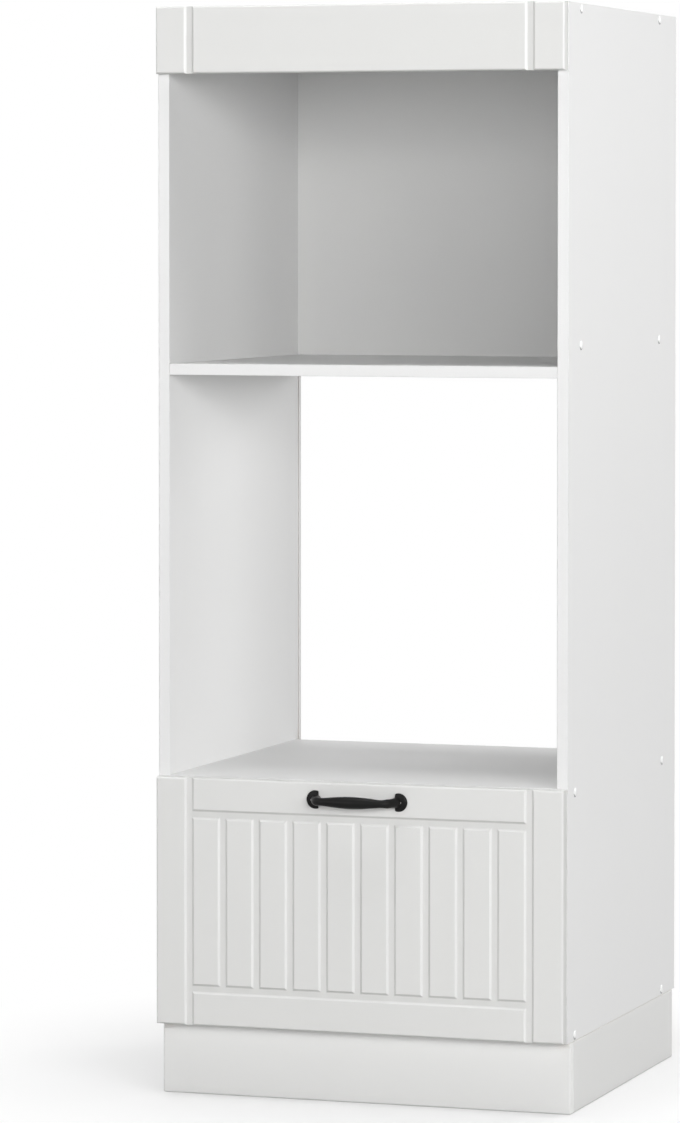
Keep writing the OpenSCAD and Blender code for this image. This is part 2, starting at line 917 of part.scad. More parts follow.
// Section of the channel on the cabinet side: X runs from the side panel into the cabinet
module cabinet_runner_section() {
    square([runner_s, channel_top_z - track_z + 2 * runner_s]);
    square([channel_w, runner_s]);
    translate([0, channel_top_z - track_z + runner_s]) square([channel_w, runner_s]);
}

// Turns a section drawn in X and Z into a bar that runs to the back
module run_back(length) {
    translate([0, length, 0]) rotate([90, 0, 0]) linear_extrude(height = length) children();
}

module at_cabinet_runner_screws() {
    for (i = [0 : runner_screws - 1]) {
        point_x(
            [
                -inner_x + runner_s,
                runner_setback + runner_screw_inset + i * runner_screw_pitch,
                runner_screw_z
            ], -1
        ) children();
    }
}

// The pin of the front roller, fixed in the web of the cabinet runner
module at_front_axle() {
    point_x([-inner_x, front_axle_y, front_axle_z], 1) children();
}

// The pin of the rear roller, fixed in the web of the drawer runner
module at_rear_axle() {
    point_x([-wall_x, rear_axle_y, rear_axle_z], -1) children();
}

module left_cabinet_runner() {
    color("#f2f2f0") in_place() difference() {
        union() {
            translate([-inner_x, runner_setback, track_z - runner_s])
                run_back(runner_l) cabinet_runner_section();
            translate([-inner_x, stop_y - runner_s, track_z - runner_s])
                cube([channel_w, runner_s, stop_tab_h + runner_s]);
        }
        at_cabinet_runner_screws() small_hole(small_l);
        at_front_axle() translate([0, 0, -over])
            cylinder(h = runner_s + 2 * over, r = roller_pin_r + fit);
    }
}

module right_cabinet_runner() {
    mirror([1, 0, 0]) left_cabinet_runner();
}

module cabinet_runner_screws() {
    color("#b9bcbf") in_place() both_sides() at_cabinet_runner_screws() raised_screw(small_l);
}

// Section of the rail on the drawer wall: X runs from the wall's outer face into the drawer
module drawer_runner_section() {
    rail_h = rail_z + runner_s - box_z;
    translate([-runner_s, -runner_s]) square([runner_s, rail_h + runner_s]);
    translate([-runner_s, -runner_s]) square([runner_s + runner_lip_w, runner_s]);
    translate([-rail_reach, rail_h - runner_s]) square([rail_reach, runner_s]);
}

module at_drawer_runner_screws() {
    for (i = [0 : runner_screws - 1]) {
        point_z(
            [
                -wall_x + board_t / 2,
                box_y + runner_screw_inset + i * runner_screw_pitch,
                box_z - runner_s
            ], 1
        ) children();
    }
}

module left_drawer_runner() {
    color("#f2f2f0") in_place() difference() {
        translate([-wall_x, box_y + runner_setback, box_z])
            run_back(drawer_l - runner_setback) drawer_runner_section();
        at_drawer_runner_screws() small_hole(lip_screw_l);
        at_rear_axle() translate([0, 0, -over])
            cylinder(h = runner_s + 2 * over, r = roller_pin_r + fit);
    }
}

module right_drawer_runner() {
    mirror([1, 0, 0]) left_drawer_runner();
}

module drawer_runner_screws() {
    color("#b9bcbf") in_place() both_sides() at_drawer_runner_screws() raised_screw(lip_screw_l);
}

// Pin that starts flush with the back of the web, with a rivet head beyond the roller
module roller_pin() {
    head_z = runner_s + axle_gap + roller_w + roller_play;
    cylinder(h = head_z + rivet_head_h, r = roller_pin_r);
    translate([0, 0, head_z]) cylinder(h = rivet_head_h, r = rivet_head_r);
}

// Wheel with a bore, a hub and a rim, thinner between them
module roller() {
    translate([0, 0, runner_s + axle_gap]) difference() {
        cylinder(h = roller_w, r = roller_r);
        translate([0, 0, -over]) cylinder(h = roller_w + 2 * over, r = roller_pin_r + fit);
        for (z = [-over, roller_w - roller_recess]) {
            translate([0, 0, z]) difference() {
                cylinder(h = roller_recess + over, r = roller_r - roller_rim);
                translate([0, 0, -over])
                    cylinder(h = roller_recess + 3 * over, r = roller_pin_r + roller_rim);
            }
        }
    }
}

module cabinet_roller_pins() {
    color("#b9bcbf") in_place() both_sides() at_front_axle() roller_pin();
}

module drawer_roller_pins() {
    color("#b9bcbf") in_place() both_sides() at_rear_axle() roller_pin();
}

module left_front_roller() {
    color("#fafafa") in_place() at_front_axle() roller();
}

module right_front_roller() {
    mirror([1, 0, 0]) left_front_roller();
}

module left_rear_roller() {
    color("#fafafa") in_place() at_rear_axle() roller();
}

module right_rear_roller() {
    mirror([1, 0, 0]) left_rear_roller();
}

// ---------- Handle ----------

module at_handle_screws() {
    both_sides() point_y([-handle_x, -stop_gap, handle_z], -1) children();
}

// Foot with a round outer side, a flat inner side and a bevelled face, standing on z = 0
module handle_foot() {
    intersection() {
        translate([foot_shift, 0, 0]) {
            cylinder(h = foot_t / 2, r = foot_r);
            translate([0, 0, foot_t / 2])
                cylinder(h = foot_t / 2, r1 = foot_r, r2 = foot_r - foot_bevel);
        }
        translate([-2 * foot_r, -2 * foot_r, -over])
            cube([2 * foot_r + foot_flat, 4 * foot_r, foot_t + 2 * over]);
    }
}

// Grip along X, thick in the middle and slim at its ends
module grip() {
    rotate([0, 90, 0]) rotate_extrude($fn = 64) intersection() {
        translate([grip_r - grip_arc_r, 0]) circle(r = grip_arc_r, $fn = 256);
        translate([0, -grip_end_x]) square([grip_r + over, 2 * grip_end_x]);
    }
}

// Neck from the foot to the bend, in the plane of the handle; z is the distance from the front
module neck() {
    rise = grip_reach - root_d;
    length = sqrt(neck_run * neck_run + rise * rise);
    translate([foot_shift, 0, root_d]) {
        sphere(r = neck_root_r);
        rotate([0, atan2(neck_run, rise), 0])
            cylinder(h = length, r1 = neck_root_r - 2 * blend_step, r2 = neck_r - blend_step);
    }
    translate([foot_shift + neck_run, 0, grip_reach]) sphere(r = ball_r);
}

module drawer_handle() {
    color("#1d1d1e") in_place() translate([0, -front_t - stop_gap, handle_z]) difference() {
        union() {
            translate([0, -grip_reach, 0]) grip();
            both_sides() point_y([-handle_x, 0, 0], -1) {
                handle_foot();
                neck();
            }
        }
        both_sides() point_y([-handle_x, over, 0], -1)
            cylinder(h = handle_thread + 2 * over, r = handle_screw_r + fit);
    }
}

module handle_screws() {
    color("#b9bcbf") in_place() at_handle_screws() {
        cylinder(h = handle_screw_l, r = handle_screw_r);
        translate([0, 0, -handle_head_h]) cylinder(h = handle_head_h, r = handle_head_r);
    }
}

left_side_panel();
right_side_panel();
top_panel();
microwave_shelf();
oven_shelf();
bottom_panel();
upper_back_panel();
lower_back_panel();
fascia_front();
side_edge_bands();
shelf_edge_bands();
plinth_front_board();
plinth_back_board();
plinth_left_board();
plinth_right_board();
plinth_corner_blocks();
plinth_block_screws();
plinth_fixing_screws();
carcass_screws();
side_screw_caps();
cam_bolts();
cam_housings();
shelf_dowels();
fascia_brackets();
fascia_bracket_screws();
back_panel_nails();
left_cabinet_runner();
right_cabinet_runner();
cabinet_runner_screws();
cabinet_roller_pins();
left_front_roller();
right_front_roller();
drawer_front();
drawer_box_front();
drawer_left_wall();
drawer_right_wall();
drawer_back_wall();
drawer_bottom();
drawer_box_screws();
drawer_front_screws();
drawer_bottom_screws();
left_drawer_runner();
right_drawer_runner();
drawer_runner_screws();
drawer_roller_pins();
left_rear_roller();
right_rear_roller();
drawer_handle();
handle_screws();
drawer_bumpers();
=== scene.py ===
"""The looks of a tall white kitchen cabinet for an oven and a microwave.

Lengths are in metres. X runs to the right, Y to the back and Z up from the floor.
"""

import math

import bmesh
import bpy
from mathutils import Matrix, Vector


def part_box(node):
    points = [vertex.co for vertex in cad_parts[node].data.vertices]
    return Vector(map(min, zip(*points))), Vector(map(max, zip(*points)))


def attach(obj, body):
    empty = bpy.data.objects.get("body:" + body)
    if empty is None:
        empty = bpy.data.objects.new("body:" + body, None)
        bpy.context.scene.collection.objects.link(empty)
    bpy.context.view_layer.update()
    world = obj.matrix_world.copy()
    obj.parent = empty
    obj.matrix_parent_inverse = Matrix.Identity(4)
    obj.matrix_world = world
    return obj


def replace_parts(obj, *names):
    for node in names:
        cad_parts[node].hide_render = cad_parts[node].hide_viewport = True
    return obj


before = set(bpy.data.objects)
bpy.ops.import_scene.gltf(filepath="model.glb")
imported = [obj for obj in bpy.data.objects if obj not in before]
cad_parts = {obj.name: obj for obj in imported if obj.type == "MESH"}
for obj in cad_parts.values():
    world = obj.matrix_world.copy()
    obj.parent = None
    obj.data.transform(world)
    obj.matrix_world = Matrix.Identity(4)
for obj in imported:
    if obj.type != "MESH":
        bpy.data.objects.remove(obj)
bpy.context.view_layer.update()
mm = 0.001


# ---------- Sides, top, shelves and bottom ----------
# Chipboard 16 mm thick, faced on both sides with white melamine that has a fine pearl grain.
# The boards are cut square, and their rear and lower edges stay bare. Long screws, and cam
# fittings under the microwave, hold them together.


def named_socket(sockets, name):
    """The socket with this number, identifier or name."""
    if isinstance(name, int):
        return sockets[name]
    return next(s for s in sockets if name in (s.identifier, s.name))


class Wire:
    """One output in a finish. Sums written with it add Math nodes."""

    def __init__(self, socket):
        self.socket = socket

    def maths(self, operation, *terms):
        tree = self.socket.id_data
        sum_node = tree.nodes.new("ShaderNodeMath")
        sum_node.operation = operation
        for slot, term in zip(sum_node.inputs, terms):
            if isinstance(term, Wire):
                tree.links.new(term.socket, slot)
            else:
                slot.default_value = term
        return Wire(sum_node.outputs[0])

    def part(self, name):
        """Another output of the same node."""
        return Wire(named_socket(self.socket.node.outputs, name))

    def __add__(self, other):
        return self.maths("ADD", self, other)

    __radd__ = __add__

    def __sub__(self, other):
        return self.maths("SUBTRACT", self, other)

    def __rsub__(self, other):
        return self.maths("SUBTRACT", other, self)

    def __mul__(self, other):
        return self.maths("MULTIPLY", self, other)

    __rmul__ = __mul__

    def __gt__(self, other):
        return self.maths("GREATER_THAN", self, other)

    def at_least(self, lowest):
        return self.maths("MAXIMUM", self, lowest)

    def at_most(self, highest):
        return self.maths("MINIMUM", self, highest)


class Finish:
    """The material of one kind of surface, built from nodes."""

    def __init__(self, name, owner=None):
        self.material = owner or bpy.data.materials.new(name)
        self.material.use_nodes = True
        self.tree = self.material.node_tree
        self.tree.nodes.clear()

    def node(self, kind, inputs=(), output=0, stops=(), **settings):
        """Adds a node: its settings and a ramp's stops first, then the values or wires of its
        sockets. Returns the named output."""
        made = self.tree.nodes.new("ShaderNode" + kind)
        for name, value in settings.items():
            setattr(made, name, value)
        for number, (place, colour) in enumerate(stops):
            ramp = made.color_ramp.elements
            stop = ramp[number] if number < len(ramp) else ramp.new(place)
            stop.position, stop.color = place, (*colour, 1)
        for name, value in dict(inputs).items():
            slot = named_socket(made.inputs, name)
            if isinstance(value, Wire):
                self.tree.links.new(value.socket, slot)
            else:
                slot.default_value = value
        if made.outputs:
            return Wire(named_socket(made.outputs, output))

    def place(self):
        """Where a point lies on its piece, in metres."""
        return self.node("TexCoord", output="Object")

    def facing(self):
        """The way a face looks, as a vector."""
        return self.node("TexCoord", output="Normal")

    def axis(self, vector, name):
        return self.node("SeparateXYZ", {"Vector": vector}, output=name)

    def stretched(self, vector, factors):
        return self.node(
            "VectorMath", {"Vector": vector, "Vector_001": factors}, operation="MULTIPLY"
        )

    def noise(self, vector, size, detail=3.0):
        """Cloudy noise from 0 to 1 with lumps of about the given size."""
        inputs = {"Vector": vector, "Scale": 1 / size, "Detail": detail}
        return self.node("TexNoise", inputs)

    def blend(self, share, first, second):
        """A colour between two others."""
        inputs = {"Factor_Float": share, "A_Color": first, "B_Color": second}
        return self.node("Mix", inputs, output="Result_Color", data_type="RGBA")

    def relief(self, height, depth, strength=1.0):
        """A surface normal for a relief of the given depth."""
        inputs = {"Height": height, "Distance": depth, "Strength": strength}
        return self.node("Bump", inputs)

    def surface(self, **inputs):
        """The shader and the end of the material. Socket names have underscores for spaces."""
        named = {name.replace("_", " "): value for name, value in inputs.items()}
        shader = self.node("BsdfPrincipled", named)
        self.node("OutputMaterial", {"Surface": shader})
        return self.material


def grey(level, warmth=0.0):
    """A near-white or grey, with blue taken out as it gets warmer."""
    return (level, level, level - warmth, 1)


pearl_grain = 1.1 * mm
pearl_depth = 0.012 * mm


def cut_board(finish, place):
    """The bare edge of chipboard: chips of wood in glue. Returns its colour and its height."""
    grain = finish.stretched(place, (1, 0.45, 1))
    chips = finish.node("TexVoronoi", {"Vector": grain, "Scale": 620.0}, output="Color")
    shade = finish.axis(chips, "X")
    colour = finish.node(
        "ValToRGB",
        {"Fac": shade},
        stops=(
            (0.0, (0.20, 0.125, 0.068)),
            (0.35, (0.42, 0.29, 0.17)),
            (0.7, (0.56, 0.41, 0.25)),
            (1.0, (0.70, 0.55, 0.37)),
        ),
    )
    return colour, shade


def melamine(name, level, bare_edges):
    """White melamine with a pearl grain. bare_edges gives the axis and the sign of each way that
    faces of bare chipboard look."""
    finish = Finish(name)
    place = finish.place()
    facing = finish.facing()
    pearl = finish.noise(place, pearl_grain, 2.0)
    cloud = finish.noise(place, 180 * mm, 2.0)
    faced_colour = finish.blend(
        cloud * 0.5 + pearl * 0.5, grey(level - 0.018, 0.002), grey(level + 0.012, 0.004)
    )
    chips_colour, chips = cut_board(finish, place)
    bare = None
    for axis, way in bare_edges:
        looks_there = (finish.axis(facing, axis) * way) > 0.6
        bare = looks_there if bare is None else bare.at_least(looks_there)
    return finish.surface(
        Base_Color=finish.blend(bare, faced_colour, chips_colour),
        Roughness=0.46 + 0.06 * cloud + 0.4 * bare,
        Normal=finish.relief(pearl + chips * bare * 8.0, pearl_depth, 0.5),
        Specular_IOR_Level=0.25,
    )


def dress(node, material):
    """Gives a CAD node its finish."""
    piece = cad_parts[node]
    for slot in piece.material_slots:
        slot.material = material
    return piece


def shade_evenly(piece, keep_sharp=False):
    """Keeps the shading of large flat faces flat, next to narrow faces that round them off."""
    even = piece.modifiers.new("even_shading", "WEIGHTED_NORMAL")
    even.weight = 100
    even.keep_sharp = keep_sharp


def ease_edges(piece, radius):
    """Takes the sharpness off a board's edges, as a few strokes of fine paper do."""
    join = piece.modifiers.new("joined_faces", "WELD")
    join.merge_threshold = same_place
    flat = piece.modifiers.new("flat_faces", "DECIMATE")
    flat.decimate_type = "DISSOLVE"
    flat.angle_limit = math.radians(0.5)
    edge = piece.modifiers.new("eased_edges", "BEVEL")
    edge.width = radius
    edge.segments = 3
    edge.limit_method = "ANGLE"
    edge.angle_limit = math.radians(40)
    edge.use_clamp_overlap = False
    shade_evenly(piece)


same_place = 0.001 * mm
board_ease = 0.3 * mm

side_finish = melamine("side_melamine", 0.80, (("Y", 1), ("Z", -1)))
for board in ("left_side_panel", "right_side_panel"):
    ease_edges(dress(board, side_finish), board_ease)

level_finish = melamine("level_melamine", 0.82, (("Y", 1),))
for board in ("top_panel", "microwave_shelf", "oven_shelf", "bottom_panel"):
    ease_edges(dress(board, level_finish), board_ease)


# ---------- Edge bands ----------
# Strips of white plastic 1 mm thick, glued to the front edges of the sides and of the level
# boards. Their long edges are scraped to a small radius, which catches the light.

band = Finish("edge_band")
band_place = band.place()
band_ripple = band.noise(band_place, 1.4 * mm, 2.0)
band_tone = band.noise(band_place, 90 * mm, 1.0)
band_finish = band.surface(
    Base_Color=band.blend(band_tone, grey(0.83, 0.002), grey(0.85, 0.002)),
    Roughness=0.26 + 0.04 * band_ripple,
    Normal=band.relief(band_ripple, 0.003 * mm, 0.3),
    Specular_IOR_Level=0.5,
)
band_ease = 0.9 * mm
for bands in ("side_edge_bands", "shelf_edge_bands"):
    ease_edges(dress(bands, band_finish), band_ease)


# ---------- Back panels ----------
# Hardboard 3 mm thick, lacquered white on the inside and left brown behind, with the weave of
# the press screen in it. It slides into grooves in the sides and is nailed to the level boards.


def hardboard(name, axis, way):
    """White lacquer on one face, brown fibre with a screen pattern on the edges and on the face
    that looks the given way."""
    finish = Finish(name)
    place = finish.place()
    behind = (finish.axis(finish.facing(), axis) * way) > -0.6
    fibre = finish.noise(place, 2.5 * mm, 5.0)
    cloud = finish.noise(place, 120 * mm, 2.0)
    lacquer = finish.blend(cloud, grey(0.765, 0.006), grey(0.785, 0.010))
    brown = finish.blend(
        fibre * 0.7 + cloud * 0.3, (0.17, 0.095, 0.048, 1), (0.36, 0.225, 0.125, 1)
    )
    weave = finish.node(
        "TexBrick",
        {"Vector": finish.stretched(place, (1, 0, 1)), "Scale": 420.0, "Mortar Size": 0.012},
        output="Fac",
        offset=0.5,
    )
    return finish.surface(
        Base_Color=finish.blend(behind, lacquer, brown),
        Roughness=0.46 + 0.4 * behind + 0.05 * fibre,
        Normal=finish.relief(fibre * 0.25 + weave * behind, 0.06 * mm, 0.5),
        Specular_IOR_Level=0.25,
    )


back_finish = hardboard("back_hardboard", "Y", 1)
for board in ("upper_back_panel", "lower_back_panel"):
    dress(board, back_finish)


# ---------- Fascia and drawer front ----------
# Fibreboard 16 mm thick, rounded along its front edges, routed with flat-bottomed grooves and
# wrapped in white satin foil, which softens every edge. The fascia hangs on two brackets, and
# the drawer front is screwed to the drawer box from inside.

front_round = 3 * mm
groove_face_w = 14 * mm
groove_flat_w = 8.6 * mm
groove_depth = 2.5 * mm
foil_soft = 0.5 * mm


def piece_from(name, verts, faces, material):
    """A smooth-shaded mesh piece with the given finish."""
    mesh = bpy.data.meshes.new(name)
    mesh.from_pydata(verts, [], faces)
    mesh.validate()
    mesh.update()
    piece = bpy.data.objects.new(name, mesh)
    bpy.context.scene.collection.objects.link(piece)
    mesh.materials.append(material)
    mesh.polygons.foreach_set("use_smooth", [True] * len(mesh.polygons))
    return piece


def foil(name, level, painted_highlight_level, face_y):
    """Satin foil, pressed warm over the board whose face lies at face_y. A painted highlight makes
    it paler where an edge turns up or to the right, and painted shade makes it darker under the
    edges, on the right side and at the foot of the grooves."""
    finish = Finish(name)
    place = finish.place()
    right, up = finish.axis(finish.facing(), "X"), finish.axis(finish.facing(), "Z")
    # painted highlight: faces turned partly up or to the right are paler
    stretched = (4 * right * (1 - right)).at_least(0) + (2.4 * up * (1 - up)).at_least(0)
    # painted shade: faces turned down, and the board's right side
    painted_under_shade = (0 - up).at_least(0) + (right > 0.97) * 0.4
    depth = ((finish.axis(place, "Y") - face_y) * (1 / groove_depth)).at_least(0).at_most(1)
    skin = finish.noise(place, 0.8 * mm, 2.0)
    wave = finish.noise(place, 28 * mm, 2.0)
    cloud = finish.noise(place, 220 * mm, 1.0)
    plain_tone = finish.blend(
        cloud * 0.6 + skin * 0.4, grey(level - 0.010, 0.012), grey(level + 0.008, 0.014)
    )
    painted_highlight = finish.blend(stretched.at_most(1), plain_tone, grey(painted_highlight_level, 0.008))
    # painted shade, also deepening towards the foot of the grooves
    painted_shade = (depth * depth * 0.15 + painted_under_shade).at_most(1)
    return finish.surface(
        Base_Color=finish.blend(painted_shade, painted_highlight, grey(level * 0.68, 0.014)),
        Roughness=0.30 + 0.05 * wave + 0.15 * depth,
        Normal=finish.relief(skin * 0.35 + wave, 0.02 * mm, 0.35),
        Specular_IOR_Level=0.5,
    )


def round_edge(length):
    """Stations across a board between its rounded edges, each with the depth of the edge there."""
    round_steps = 9
    near = []
    for i in range(round_steps + 1):
        turn = math.pi / 2 * i / round_steps
        near.append((front_round * (1 - math.cos(turn)), front_round * (1 - math.sin(turn))))
    return near + [(length - at, deep) for at, deep in reversed(near)]


def groove_profile(offset):
    """Depth of a groove at a distance from its middle, with its shoulder and foot rounded off."""
    slope = (groove_face_w - groove_flat_w) / 2
    share = (groove_face_w / 2 - abs(offset)) / slope
    soft = foil_soft / slope

    def ramp(value):
        """A corner from 0 into a rising line, rounded over the soft length."""
        if value <= -soft:
            return 0.0
        if value >= soft:
            return value
        return (value + soft) ** 2 / (4 * soft)

    return groove_depth * (ramp(share) - ramp(share - 1))


def groove_stations(middle):
    """Stations close enough together to draw one groove with its soft corners."""
    reach = groove_face_w / 2 + foil_soft
    groove_steps = 22
    return [middle - reach + 2 * reach * i / groove_steps for i in range(groove_steps + 1)]


def routed_front(name, node, finish, uprights, levels, slats):
    """A front board in place of a CAD node, with the middles of its grooves measured from its lower
    left front corner. uprights run the whole height, levels run between the outer uprights, and
    slats run between the levels."""
    low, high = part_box(node)
    width, height, thick = high.x - low.x, high.z - low.z, high.y - low.y
    edge_x, edge_z = round_edge(width), round_edge(height)
    xs = dict(edge_x)
    zs = dict(edge_z)
    for middle in uprights + slats:
        xs.update((at, 0.0) for at in groove_stations(middle))
    for middle in levels:
        zs.update((at, 0.0) for at in groove_stations(middle))
    columns, rows = sorted(xs), sorted(zs)

    def depth(x, z):
        deepest = max(xs[x], zs[z])
        for middle in uprights:
            deepest = max(deepest, groove_profile(x - middle))
        if levels and uprights[0] <= x <= uprights[-1]:
            for middle in levels:
                deepest = max(deepest, groove_profile(z - middle))
            if levels[0] <= z <= levels[-1]:
                for middle in slats:
                    deepest = max(deepest, groove_profile(x - middle))
        return deepest

    verts = [(low.x + x, low.y + depth(x, z), low.z + z) for z in rows for x in columns]
    count = len(columns)
    faces = []
    for j in range(len(rows) - 1):
        for i in range(count - 1):
            corner = j * count + i
            faces.append((corner, corner + 1, corner + count + 1, corner + count))
    # the sides run from the rim of the face to the back, where the rim is repeated
    last = len(rows) - 1
    rim = list(range(count))
    rim += [j * count + count - 1 for j in range(1, last + 1)]
    rim += [last * count + i for i in range(count - 2, -1, -1)]
    rim += [j * count for j in range(last - 1, 0, -1)]
    start = len(verts)
    verts += [(verts[v][0], low.y + thick, verts[v][2]) for v in rim]
    for i in range(len(rim)):
        after = (i + 1) % len(rim)
        faces.append((rim[i], start + i, start + after, rim[after]))
    faces.append(tuple(start + i for i in range(len(rim)))[::-1])
    piece = piece_from(name, verts, faces, finish)
    piece.data.set_sharp_from_angle(angle=math.radians(60))
    shade_evenly(piece, keep_sharp=True)
    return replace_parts(piece, node)


front_low, front_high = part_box("drawer_front")
front_w = front_high.x - front_low.x
front_h = front_high.z - front_low.z
stile_w = 49.5 * mm
rail_w = 51.5 * mm
slat_count = 10
slat_pitch = (front_w - 2 * stile_w) / slat_count
outer_grooves = [stile_w, front_w - stile_w]

fascia_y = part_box("fascia_front")[0].y
fascia = routed_front(
    "fascia_board",
    "fascia_front",
    foil("fascia_foil", level=0.75, painted_highlight_level=0.86, face_y=fascia_y),
    uprights=outer_grooves,
    levels=[],
    slats=[],
)
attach(fascia, "carcass")

drawer_face = routed_front(
    "drawer_face",
    "drawer_front",
    foil("drawer_foil", level=0.762, painted_highlight_level=0.78, face_y=front_low.y),
    uprights=outer_grooves,
    levels=[rail_w, front_h - rail_w],
    slats=[stile_w + slat_pitch * i for i in range(1, slat_count)],
)
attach(drawer_face, "drawer")


# ---------- Plinth ----------
# Four boards of white melamine-faced chipboard with bands on all edges, standing on the floor
# and screwed to softwood blocks in the corners, which are screwed up into the bottom panel.


def plinth_melamine(name, level):
    """The faced board of the plinth, darker in a mottled band near the floor."""
    finish = Finish(name)
    place = finish.place()
    pearl = finish.noise(place, pearl_grain, 2.0)
    cloud = finish.noise(place, 140 * mm, 2.0)
    # darker in a mottled band near the floor
    low_band = finish.node(
        "MapRange",
        {"Value": finish.axis(place, "Z"), "From Max": low_band_h, "To Min": 1.0, "To Max": 0.0},
    )
    plain_tone = finish.blend(
        cloud * 0.5 + pearl * 0.5, grey(level - 0.01, 0.010), grey(level + 0.01, 0.012)
    )
    return finish.surface(
        Base_Color=finish.blend(low_band * cloud * 0.25, plain_tone, grey(level * 0.9, 0.012)),
        Roughness=0.42 + 0.06 * cloud + 0.1 * low_band,
        Normal=finish.relief(pearl, pearl_depth, 0.5),
        Specular_IOR_Level=0.3,
    )


low_band_h = 12 * mm
plinth_ease = 2.6 * mm

# painted light: the front board gets a brighter white than the side and back boards, which stand in
# shade
plinth_front_lit_finish = plinth_melamine("plinth_front_lit_melamine", 0.85)
ease_edges(dress("plinth_front_board", plinth_front_lit_finish), plinth_ease)
plinth_shaded_finish = plinth_melamine("plinth_melamine", 0.75)
for board in ("plinth_back_board", "plinth_left_board", "plinth_right_board"):
    ease_edges(dress(board, plinth_shaded_finish), plinth_ease)


# ---------- Corner blocks and dowels ----------
# Planed softwood: the blocks stand in the corners of the plinth, and fluted dowels locate the
# microwave shelf in the sides.


def softwood(name, stretch):
    """Pale softwood. Its growth lines are drawn out along the axis with the small factor."""
    finish = Finish(name)
    place = finish.place()
    along = finish.stretched(place, stretch)
    rings = finish.node(
        "TexWave",
        {"Vector": along, "Scale": 160.0, "Distortion": 3.5, "Detail": 2.0, "Detail Scale": 1.4},
        output="Fac",
    )
    pores = finish.noise(along, 0.6 * mm, 2.0)
    colour = finish.blend(
        rings * 0.65 + pores * 0.35, (0.72, 0.53, 0.32, 1), (0.50, 0.32, 0.16, 1)
    )
    return finish.surface(
        Base_Color=colour,
        Roughness=0.62 + 0.12 * pores,
        Normal=finish.relief(rings + pores, 0.05 * mm, 0.5),
    )


block_ease = 0.8 * mm
ease_edges(dress("plinth_corner_blocks", softwood("block_wood", (1, 1, 0.08))), block_ease)
dress("shelf_dowels", softwood("dowel_wood", (0.08, 1, 1)))


# ---------- Screws, nails, pins and brackets ----------
# Steel with bright zinc on it: the long carcass screws, the small screws, nails and rivets, and
# the pressed angles behind the fascia.


def zinc_plate(name, level, rough):
    """Bright zinc with the cloudy bloom that it gets in the bath."""
    finish = Finish(name)
    place = finish.place()
    bloom = finish.noise(place, 4 * mm, 4.0)
    grain = finish.noise(place, 0.5 * mm, 2.0)
    return finish.surface(
        Base_Color=finish.blend(bloom, grey(level, -0.01), grey(level + 0.12, 0.02)),
        Metallic=1.0,
        Roughness=rough + 0.14 * bloom,
        Normal=finish.relief(grain, 0.01 * mm, 0.4),
    )


zinc_finish = zinc_plate("zinc_steel", 0.60, 0.22)
for steel in (
    "carcass_screws", "plinth_block_screws", "plinth_fixing_screws", "cam_bolts",
    "fascia_brackets", "fascia_bracket_screws", "back_panel_nails", "cabinet_runner_screws",
    "cabinet_roller_pins", "drawer_box_screws", "drawer_front_screws", "drawer_bottom_screws",
    "drawer_runner_screws", "drawer_roller_pins", "handle_screws",
):
    dress(steel, zinc_finish)

dress("cam_housings", zinc_plate("die_cast_zinc", 0.52, 0.42))


# ---------- Screw caps ----------
# White plastic caps, low domes with a stem that plugs into the screw below. Eight sit on each
# side of the cabinet.


def solids_of(node):
    """The lowest and highest corner of each separate solid in a CAD node."""
    shape = bmesh.new()
    shape.from_mesh(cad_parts[node].data)
    bmesh.ops.remove_doubles(shape, verts=shape.verts, dist=same_place)
    left = set(shape.verts)
    boxes = []
    while left:
        todo = [left.pop()]
        found = list(todo)
        while todo:
            for edge in todo.pop().link_edges:
                for vert in edge.verts:
                    if vert in left:
                        left.remove(vert)
                        todo.append(vert)
                        found.append(vert)
        corners = list(zip(*(v.co for v in found)))
        boxes.append((Vector(map(min, corners)), Vector(map(max, corners))))
    shape.free()
    return sorted(boxes, key=lambda box: tuple(box[0]))


def turned(profile, sides):
    """Verts and faces of a shape turned about Z from a list of (radius, height), with flat ends."""
    verts, faces = [], []
    for radius, height in profile:
        for i in range(sides):
            turn = 2 * math.pi * i / sides
            verts.append(Vector((radius * math.cos(turn), radius * math.sin(turn), height)))
    for j in range(len(profile) - 1):
        for i in range(sides):
            a, b = j * sides + i, j * sides + (i + 1) % sides
            faces.append((a, b, b + sides, a + sides))
    faces.append(tuple(range(sides))[::-1])
    faces.append(tuple(range(len(verts) - sides, len(verts))))
    return verts, faces


cap_plastic = Finish("cap_plastic")
cap_skin = cap_plastic.noise(cap_plastic.place(), 0.7 * mm, 2.0)
# painted shade: the lower third, which looks down a little, is darker
cap_painted_shade = (cap_plastic.axis(cap_plastic.facing(), "Z") * -4).at_least(0).at_most(1)
cap_unshaded = cap_plastic.blend(cap_skin, grey(0.93, 0.002), grey(0.95, 0.002))
cap_finish = cap_plastic.surface(
    Base_Color=cap_plastic.blend(cap_painted_shade * cap_painted_shade, cap_unshaded, grey(0.42)),
    Roughness=0.22 + 0.06 * cap_skin,
    Normal=cap_plastic.relief(cap_skin, 0.003 * mm, 0.3),
)

stem_r = 2 * mm
stem_lead = 0.4 * mm
cap_edge = 0.1 * mm
rim_share = 0.12
dome_steps = 10
dome_tip_r = 0.05 * mm
side_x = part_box("right_side_panel")[1].x

